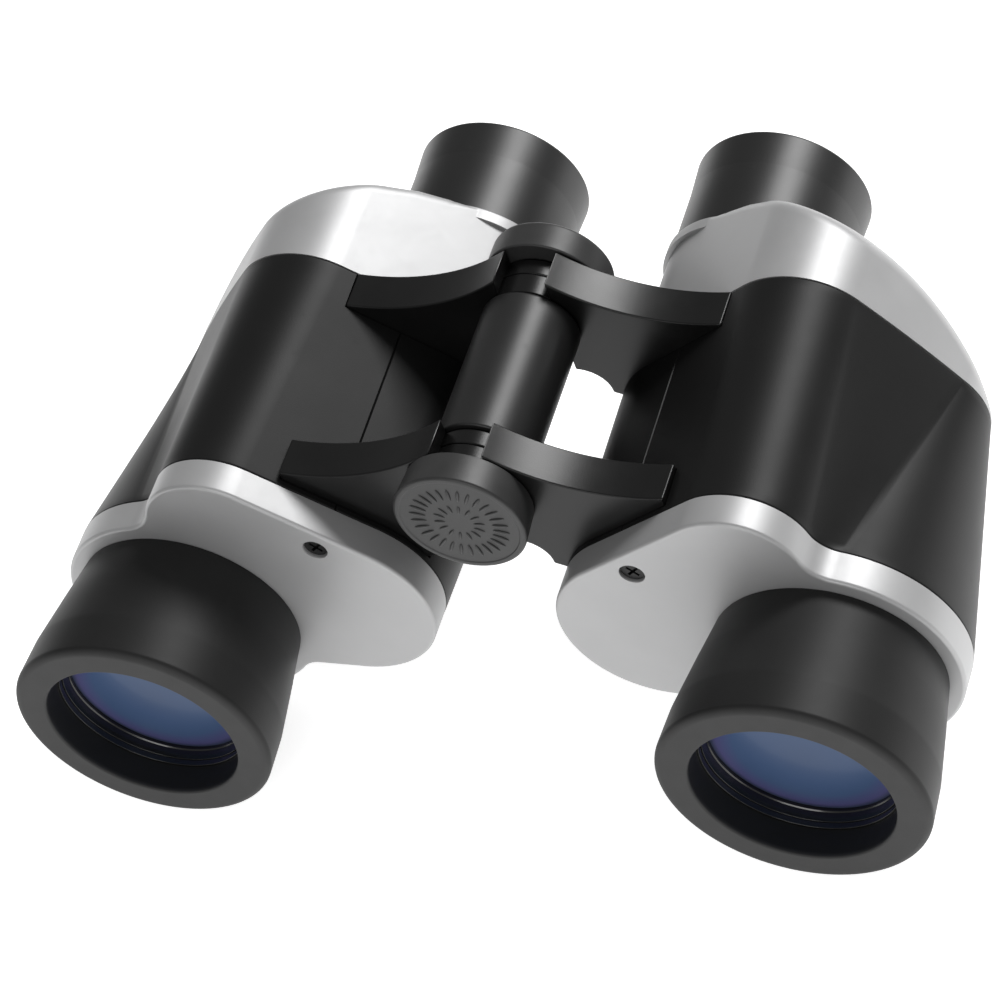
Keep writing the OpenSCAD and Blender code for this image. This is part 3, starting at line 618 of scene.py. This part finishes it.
armour_rubber = rubber("armour_rubber", 20, 26, 0.42, 0.24)
sleeve_edge, sleeve_t, sleeve_gap, seam_depth = 0.3, 1.38, 0.12, 0.3
sleeve_front, sleeve_rear = body_y + sleeve_gap, cover_y - sleeve_gap
arm_t = 8
arm_front, arm_rear = body_y + 1.5, cover_y - arm_t
arm_gap, arm_reach, arm_dip, sweep_r = 5.0, 37.0, 2.0, 43.5
edge_turns = [radians(k * 22.5) for k in range(5)]
sleeve_line = [(sleeve_front + sleeve_edge * (1 - sin(a)), sleeve_edge * (1 - cos(a)))
               for a in edge_turns[::-1]]
sleeve_line += [(body_y + share * (cover_y - body_y), 0) for share in (0.04, 0.5, 0.96)]
sleeve_line += [(sleeve_rear - sleeve_edge * (1 - sin(a)), sleeve_edge * (1 - cos(a)))
                for a in edge_turns]
sleeve_rings = [ring(section(y, inset, seam_depth), y) for y, inset in sleeve_line]
sleeve_rings += [ring(section(y, sleeve_t), y) for y in (sleeve_rear, sleeve_front)]


def side_prism(points, y0, y1):
    """A side view [x, z] carried from one station to another."""
    n = len(points)
    corners = [(x, y0, z) for x, z in points] + [(x, y1, z) for x, z in points]
    faces = [tuple(range(n)), tuple(range(2 * n - 1, n - 1, -1))]
    faces += [(i, (i + 1) % n, n + (i + 1) % n, n + i) for i in range(n)]
    return corners, faces


low_line = hinge.y + arm_dip
sweep_centre = Vector((arm_reach - 5.5, low_line + sweep_r))
web_top, web_round, web_drop = 12.8, 6, 20
web_centre = Vector((arm_gap + 0.2, hinge.y - web_top - web_round))


def arm_line(steps=28):
    """An arm's side view: its hollow upper edge, the round of its web and its foot in the body."""
    top = []
    for i in range(steps + 1):
        x = arm_gap + (arm_reach - arm_gap) * i / steps
        top.append((x, sweep_centre.y - sqrt(sweep_r ** 2 - (x - sweep_centre.x) ** 2)))
    web = [web_centre + web_round * along(radians(a)) for a in range(90, -1, -10)]
    foot = [inner_lobe[0], upper_lobe[0] + Vector((-9, -3)), Vector((arm_reach, low_line - 4))]
    return top, [(p.x, p.y) for p in web], [(p.x, p.y) for p in foot]


notch_gap = 0.18
notch_side, notch_low, notch_high = arm_reach + notch_gap, hinge.y - web_drop, hinge.y + 12
notch_view = [(0, notch_low), (notch_side, notch_low), (notch_side, notch_high), (0, notch_high)]
notch_tools = [solid(*side_prism(notch_view, y0 - notch_gap, y1)) for y0, y1 in (
    (arm_front, arm_front + arm_t + notch_gap), (arm_rear, cover_y + 3))]
sleeve_mesh = carved(solid(*shell(sleeve_rings)), notch_tools)
for half in ("left", "right"):
    piece(half + "_rubber_jacket", sleeve_mesh, armour_rubber, half + "_half",
          [half + "_armour"], sharp=50)


# ---- Cast bodies with their hinge arms
# Each prism housing is a thin aluminium casting in dark satin paint. Two arms with
# hollow upper faces reach from it to the hinge, each ending in a half knuckle.
cast = Finish("cast_paint", Specular_IOR_Level=0.36)
pebble, cast_cloud = cast.noise(0.00025, 3), cast.noise(0.006, 3)
cast.set(Base_Color=cast.blend(cast_cloud, grey(15), grey(23)), Roughness=0.26 + 0.07 * cast_cloud,
         Normal=cast.relief(pebble, 0.00003, 0.4))

split, knuckle_r, knuckle_room, axle_bore = 4.6, 8.6, 0.3, 5.05
wall_inset, hollow_inset, ledge_inset = 1.4, 3.4, 4.6
shelf_y, ledge_t = body_y + 30.5, 3


def arm_blank(y, own0, own1):
    """An arm with its own half knuckle, and a pocket for the knuckle of the other half."""
    top, web, foot = arm_line()
    blank = solid(*side_prism(top + foot[::-1] + web[::-1], y, y + arm_t))
    other0, other1 = (-1, own0 - fit) if own0 > 0 else (own1 + fit, arm_t + 1)
    pocket_r = knuckle_r + knuckle_room
    pocket = solid(*turned(hinge, [(0, y + other0), (pocket_r, y + other0), (pocket_r, y + other1),
                                   (0, y + other1)], 96))
    work = bpy.data.objects.new("work", blank)
    bpy.context.scene.collection.objects.link(work)
    soften = work.modifiers.new("soften", "BEVEL")
    soften.width, soften.segments, soften.limit_method, soften.angle_limit = 0.35, 3, "ANGLE", radians(40)
    soft = plain(work)
    bpy.data.objects.remove(work)
    knuckle = solid(*turned(hinge, rounded([
        (0, y + own0, 0), (knuckle_r, y + own0, 0.3), (knuckle_r, y + own1, 0.3), (0, y + own1, 0)]), 96))
    return carved(carved(soft, [pocket]), [knuckle], "UNION")


def body_blank(outer_knuckles):
    """The housing's wall with its shelf ledge, joined to the two arms and bored for the axle."""
    wall_rings = [ring(section(y, wall_inset), y) for y in (body_y, (body_y + cover_y) / 2, cover_y)]
    wall_rings += [ring(section(y, inset), y) for y, inset in (
        (cover_y, hollow_inset), (shelf_y, hollow_inset), (shelf_y, ledge_inset),
        (shelf_y - ledge_t, ledge_inset), (shelf_y - ledge_t, hollow_inset), (body_y, hollow_inset))]
    made = solid(*shell(wall_rings))
    arms = []
    for i, y in enumerate((arm_front, arm_rear)):
        first = (i == 0) == outer_knuckles
        arms.append(arm_blank(y, 0 if first else split + fit, split - fit if first else arm_t))
    core_rings = [ring(section(y, wall_inset + 1), y) for y in (body_y + 0.5, cover_y - 0.02)]
    core = solid(*shell(core_rings, closed=False))
    made = carved(made, [carved(arm, [core]) for arm in arms], "UNION")
    bore = solid(*turned(hinge, [(0, body_y - 3), (axle_bore, body_y - 3), (axle_bore, cover_y + 4),
                                 (0, cover_y + 4)], 64))
    return carved(made, [bore])


for half in ("left", "right"):
    piece(half + "_cast_body", body_blank(half == "left"), cast, half + "_half",
          [half + "_housing"], sharp=32)


# ---- Silver rear covers
# The matching rear casting tapers back in a shallow dome to the eyepiece collar.
# Its edge is softly rounded and it is painted like the front plate.
dome_r, collar_r, collar_bore, collar_step, cover_wall = 60.6, 17.8, 14.05, 0.3, 2.2
dome_centre = collar_y - sqrt(dome_r ** 2 - collar_r ** 2)


def dome_y(r, wall=0):
    """Station of the dome, or of its inner face, at a distance r from the eyepiece's axis."""
    return dome_centre + sqrt((dome_r - wall) ** 2 - r * r)


def bend(t, a, b, c):
    """A value on a quadratic curve from a to c that leaves a towards b."""
    return (1 - t) ** 2 * a + 2 * t * (1 - t) * b + t * t * c


def cover_rings(wall):
    """The side wall, a soft edge and the dome, out to the collar."""
    highest = collar_y - collar_step - wall
    softness = 2.1 if not wall else 1.2
    base = cover_y + fit if not wall else cover_y - 0.02
    lines = []
    for p in rear_outline(wall):
        reach, unit = (p - eyepiece).length, (p - eyepiece).normalized()
        inner = min(collar_r - 0.9, reach - 0.5)
        top = min(dome_y(reach, wall), highest)
        inset = min(softness, (reach - inner) * 0.7)
        dome_start = reach - inset
        dome_start_y = min(dome_y(dome_start, wall), highest)
        bend_y = max(top - max(inset, 0.5) * 1.1, cover_y + 0.4)
        profile = [(reach, base), (reach, (base + bend_y) / 2), (reach, bend_y)]
        profile += [(bend(k / 8, reach, reach, dome_start), bend(k / 8, bend_y, top, dome_start_y))
                    for k in range(1, 8)]
        radii = [dome_start + (inner - dome_start) * k / 7 for k in range(8)]
        profile += [(r, min(dome_y(r, wall), highest)) for r in radii]
        lines.append([(eyepiece.x + r * unit.x, y, eyepiece.y + r * unit.y) for r, y in profile])
    return [list(loop) for loop in zip(*lines)]


mouths = [circle_ring(rear_outline(), eyepiece, collar_bore, collar_y - depth)
          for depth in (collar_step, 2.4)]
cover_shell = solid(*shell(cover_rings(0) + mouths + cover_rings(cover_wall)[::-1]))
collar = solid(*turned(eyepiece, rounded([
    (collar_bore, collar_y - 2.5, 0), (collar_r, collar_y - 2.5, 0), (collar_r, collar_y, 0.4),
    (collar_bore, collar_y, 0)]), 128))
cover_mesh = carved(cover_shell, [collar], "UNION")
boss_r, boss_bite = 3, 0.5
boss_inset = hollow_inset + boss_r - boss_bite
lower_side = leave(rear_inner, rear_outer)
cover_screws = [on(rear_inner, lower_side, boss_inset).lerp(on(rear_outer, lower_side, boss_inset), 0.5),
                on(rear_outer, 0, boss_inset), on(rear_upper, radians(86), boss_inset)]
sunk, well_r, head_r, head_t, shank_r = 2.4, 2.4, 2.2, 1.8, 1.1
slot_half, slot_width, slot_depth = 1.4, 0.28, 0.8
wells, heads = [], []
for p in cover_screws:
    head = dome_y((p - eyepiece).length) - sunk
    well_foot, well_mouth, tip = head - 2.2, collar_y + 2, cover_y - 5
    wells.append(solid(*turned(p, [(0, well_foot), (well_r, well_foot), (well_r, well_mouth),
                                   (0, well_mouth)], 40)))
    blank = solid(*turned(p, rounded([(0, head, 0), (head_r, head, 0.5), (head_r, head - head_t, 0),
                                      (shank_r, head - head_t, 0), (shank_r, tip, 0), (0, tip, 0)]), 40))
    slots = []
    for turn in (pi / 4, 3 * pi / 4):
        long_way, short_way = slot_half * along(turn), slot_width * along(turn + pi / 2)
        corners = [p + long_way + short_way, p - long_way + short_way, p - long_way - short_way,
                   p + long_way - short_way]
        slots.append(solid(*side_prism([(q.x, q.y) for q in corners], head - slot_depth, head + 1)))
    heads.append(carved(blank, slots))
cover_mesh = carved(cover_mesh, wells)
for half in ("left", "right"):
    piece(half + "_rear_casting", cover_mesh, silver, half + "_half", [half + "_rear_cover"],
          sharp=40)


# ---- Rear cover screws
# Three zinc-plated cross-recessed screws hold each rear cover to bosses in the body.
# Their heads sit at the bottom of deep wells in the dome.
def metal(name, dark, light, rough):
    finish = Finish(name, Metallic=1.0)
    mottle = finish.noise(0.0008, 4)
    finish.set(Base_Color=finish.blend(mottle, dark, light), Roughness=rough + 0.1 * mottle,
               Normal=finish.relief(finish.noise(0.0002), 0.00002, 0.4))
    return finish


screw_steel = metal("screw_steel", grey(150), grey(176), 0.3)
for half in ("left", "right"):
    piece(half + "_cover_screw_set", joined(heads), screw_steel, half + "_half",
          [half + "_cover_screws"])


# ---- Eyecups
# A soft rubber cup pressed over each eyepiece barrel, with a slightly flared lip
# round the recess for the eye.
cup_rubber = rubber("eyecup_rubber", 22, 30, 0.36, 0.6)
cup_end = length - 9.5
cup_mesh = solid(*turned(eyepiece, rounded([
    (15.65, collar_y + fit, 0), (16.95, collar_y + fit, 0.25), (17.0, length - 8, 6), (17.4, length, 0.75),
    (15.8, length, 0.75), (15.3, length - 2.1, 1), (15.3, cup_end, 0.5), (collar_bore, cup_end, 0.2),
    (collar_bore, collar_y + 1.7, 0), (15.65, collar_y + 1.7, 0)], 6), 144))
for half in ("left", "right"):
    piece(half + "_cup", cup_mesh, cup_rubber, half + "_half", [half + "_eyecup"])


# ---- Hinge tube and caps
# A rubber tube covers the axle between the arms. A moulded cap closes each end of
# the hinge, and the front one lifts off its boss to free the tripod socket.
tube_rubber = rubber("tube_rubber", 28, 38, 0.37, 0.55)
tube_y0, tube_y1 = tube_low.y - rim_y, tube_high.y - rim_y
tube_mesh = solid(*turned(hinge, rounded([
    (7.2, tube_y0, 0), (9.4, tube_y0, 0.5), (9.4, tube_y1, 0.9), (7.2, tube_y1, 0)], 6), 96))
piece("tube_sleeve", tube_mesh, tube_rubber, "left_half", ["hinge_tube"])

cap_low, cap_high = box("front_cap")
cap_y0, cap_y1 = cap_low.y - rim_y, cap_high.y - rim_y
face_dip, socket_y = 0.15, cap_y0 + 1.58
cap_plastic = Finish("cap_plastic", Specular_IOR_Level=0.5)
cap_cloud, cap_grain = cap_plastic.noise(0.004, 3), cap_plastic.noise(0.0002, 2)
cap_plastic.set(Base_Color=cap_plastic.blend(cap_cloud, grey(48), grey(58)), Roughness=0.38 + 0.1 * cap_cloud,
                Normal=cap_plastic.relief(cap_grain, 0.00003, 0.45))
cap_mesh = solid(*turned(hinge, rounded([
    (0, cap_y0 + face_dip, 0), (11.1, cap_y0 + face_dip, 0.1), (11.3, cap_y0, 0.1), (12.5, cap_y0, 0.6),
    (12.0, cap_y1, 0.2), (8.05, cap_y1, 0), (8.05, socket_y, 0), (0, socket_y, 0)], 5), 112))
piece("front_cap_moulding", cap_mesh, cap_plastic, "front_cap", ["front_cap"])


# ---- Relief on the front cap
# Two plain rings of soft raised ribs, moulded into the cap's face so that it can be
# gripped.
def rib_tree(finish):
    """Geometry Nodes for a ring of soft ribs that lie along their radii."""
    tree = bpy.data.node_groups.new("ribs", "GeometryNodeTree")
    tree.interface.new_socket("Geometry", in_out="OUTPUT", socket_type="NodeSocketGeometry")
    tree.interface.new_socket("Ring", in_out="INPUT", socket_type="NodeSocketGeometry")
    for title, kind in (("Count", "Int"), ("Ring radius", "Float"), ("Rib length", "Float"),
                        ("Rib width", "Float"), ("Rib height", "Float")):
        tree.interface.new_socket(title, in_out="INPUT", socket_type="NodeSocket" + kind)
    given, result = tree.nodes.new("NodeGroupInput"), tree.nodes.new("NodeGroupOutput")

    def linked(kind, values=None, **settings):
        made = tree.nodes.new(kind)
        for key, value in settings.items():
            setattr(made, key, value)
        for key, value in (values or {}).items():
            if isinstance(value, bpy.types.NodeSocket):
                tree.links.new(value, made.inputs[key])
            else:
                made.inputs[key].default_value = value
        return made

    ask = given.outputs
    spread = linked("GeometryNodeMeshCircle", {"Vertices": ask["Count"], "Radius": ask["Ring radius"]})
    bead = linked("GeometryNodeMeshUVSphere", {"Segments": 16, "Rings": 8, "Radius": 1.0})
    size = linked("ShaderNodeCombineXYZ", {0: ask["Rib length"], 1: ask["Rib width"], 2: ask["Rib height"]})
    rib = linked("GeometryNodeTransform", {"Geometry": bead.outputs["Mesh"], "Scale": size.outputs[0]})
    number = linked("GeometryNodeInputIndex")
    share = linked("ShaderNodeMath", {0: number.outputs[0], 1: ask["Count"]}, operation="DIVIDE")
    turn = linked("ShaderNodeMath", {0: share.outputs[0], 1: 2 * pi}, operation="MULTIPLY")
    spin = linked("ShaderNodeCombineXYZ", {2: turn.outputs[0]})
    placed = linked("GeometryNodeInstanceOnPoints", {
        "Points": spread.outputs["Mesh"], "Instance": rib.outputs["Geometry"], "Rotation": spin.outputs[0]})
    stood = linked("GeometryNodeTransform", {"Geometry": placed.outputs[0], "Rotation": (pi / 2, 0, 0)})
    real = linked("GeometryNodeRealizeInstances", {0: stood.outputs[0]})
    dressed = linked("GeometryNodeSetMaterial", {"Geometry": real.outputs[0], "Material": finish.material})
    tree.links.new(dressed.outputs[0], result.inputs[0])
    return tree


def grown(name, tree, **sizes):
    """Runs a Geometry Nodes tree with its sizes in metres and returns its plain mesh."""
    work = bpy.data.objects.new(name, bpy.data.meshes.new(name))
    bpy.context.scene.collection.objects.link(work)
    growth = work.modifiers.new("growth", "NODES")
    growth.node_group = tree
    for socket in tree.interface.items_tree:
        key = socket.name.replace(" ", "_").lower()
        if key in sizes:
            growth[socket.identifier] = sizes[key]
    mesh = plain(work)
    bpy.data.objects.remove(work)
    return mesh


ribs = rib_tree(cap_plastic)
rib_mesh = joined([
    grown("outer_ribs", ribs, count=28, ring_radius=0.0078, rib_length=0.0016, rib_width=0.00034,
          rib_height=0.00032),
    grown("inner_ribs", ribs, count=14, ring_radius=0.0038, rib_length=0.0011, rib_width=0.0003,
          rib_height=0.00026)])
rib_mesh.transform(Matrix.Translation((hinge.x, cap_y0 + face_dip, hinge.y)) @ Matrix.Scale(1000, 4))
piece("front_cap_ribs", rib_mesh, cap_plastic, "front_cap")

end_low, end_high = box("rear_cap")
end_y0, end_y1 = end_low.y - rim_y, end_high.y - rim_y
end_face = end_y1 - 0.3
end_mesh = solid(*turned(hinge, rounded([
    (0, end_y0 + 3, 0), (6.5, end_y0 + 3, 0), (6.5, end_y0 + 1.4, 0), (8, end_y0 + 1.4, 0), (8, end_y0, 0),
    (11.8, end_y0, 0.4), (11.8, end_y1, 1.0), (10.6, end_y1, 0.1), (10.2, end_face, 0.1), (0, end_face, 0)],
    5), 112))
piece("rear_cap_moulding", end_mesh, cap_plastic, "left_half", ["rear_cap"])


# ---- Inner pieces
# The optics, shelf, springs, screws and axle keep their exact shapes. Each gets the
# finish of what it is made of.
def clear(name, dark, light, rough, grain, **more):
    finish = Finish(name, **more)
    haze = finish.noise(grain, 3)
    finish.set(Base_Color=finish.blend(haze, dark, light), Roughness=rough + 0.04 * haze)
    return finish


def pair(*names):
    return [side + name for name in names for side in ("left_", "right_")]


inner_finishes = [
    (black_screw, pair("front_screw")),
    (clear("clear_glass", grey(150, (0.95, 1, 1.05)), grey(165, (0.95, 1, 1.05)), 0.04, 0.004,
           Transmission_Weight=0.6, IOR=1.6), pair("objective_flint", "field_lens")),
    (clear("eye_glass", grey(60, (0.8, 0.9, 1.3)), grey(72, (0.9, 0.85, 1.4)), 0.04, 0.006,
           Coat_Weight=1.0, Coat_Roughness=0.03), pair("eye_lens")),
    (cell_black, pair("eyepiece_barrel", "field_stop", "eye_ring")),
    (clear("prism_glass", grey(190, (0.96, 1, 1.02)), grey(205, (0.96, 1, 1.02)), 0.05, 0.005,
           Transmission_Weight=0.7, IOR=1.57), pair("front_prism", "rear_prism")),
    (metal("shelf_alloy", grey(92), grey(112), 0.42), pair("prism_shelf")),
    (screw_steel, pair("shelf_screws")),
    (metal("spring_steel", grey(176), grey(196), 0.24), pair("prism_clips") + ["tension_washer"]),
    (metal("axle_steel", grey(140), grey(164), 0.26), ["hinge_axle", "hinge_nut"]),
    (clear("nylon", grey(214, (1, 0.98, 0.93)), grey(226, (1, 0.98, 0.93)), 0.45, 0.002), ["hinge_bushes"]),
    (metal("washer_brass", grey(196, (1, 0.86, 0.5)), grey(214, (1, 0.88, 0.54)), 0.26), ["front_washer"]),
    (rubber("seal_rubber", 30, 42, 0.55), ["cap_seal"]),
]
for finish, nodes in inner_finishes:
    for node in nodes:
        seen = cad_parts[node]
        seen.data.materials.clear()
        seen.data.materials.append(finish.material)
